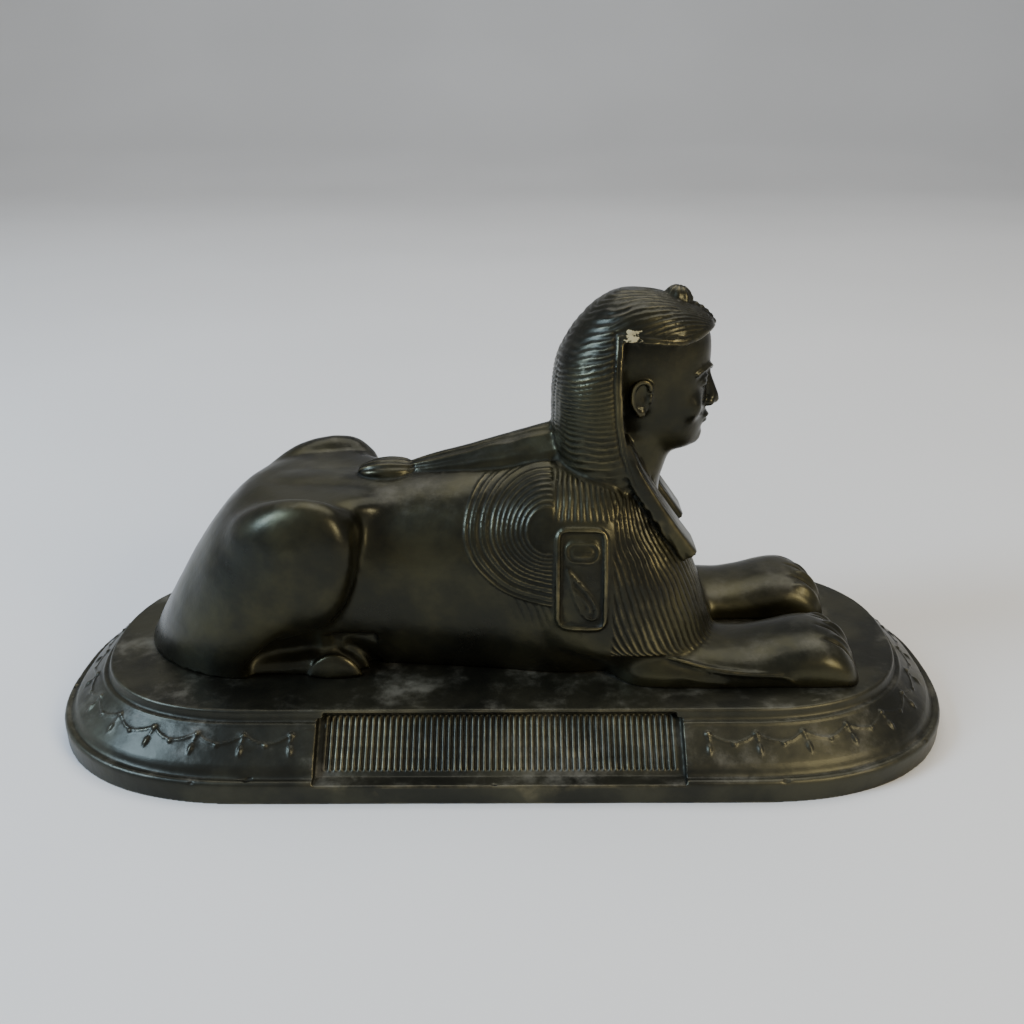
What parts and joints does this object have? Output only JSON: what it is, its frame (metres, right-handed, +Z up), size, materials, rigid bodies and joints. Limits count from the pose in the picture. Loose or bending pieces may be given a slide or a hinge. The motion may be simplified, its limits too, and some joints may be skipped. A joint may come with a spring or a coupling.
{
  "type": "sphinx statue",
  "caption": "Recumbent sphinx in a striped headcloth with a back lock, on an oblong moulded plinth with rounded ends and ribbed side panels.",
  "frame": {"origin": "centre of the plinth's plan, on the table", "axes": "+X along the length, the way the sphinx faces; +Z up"},
  "size_m": [0.23, 0.1, 0.11],
  "materials": {
    "plinth": "dark brown bronze patina, satin, with worn olive edges",
    "sphinx": "near-black bronze patina, satin, with worn brassy edges"
  },
  "bodies": {
    "root": {"plinth": "plinth", "sphinx": "sphinx"}
  },
  "joints": []
}
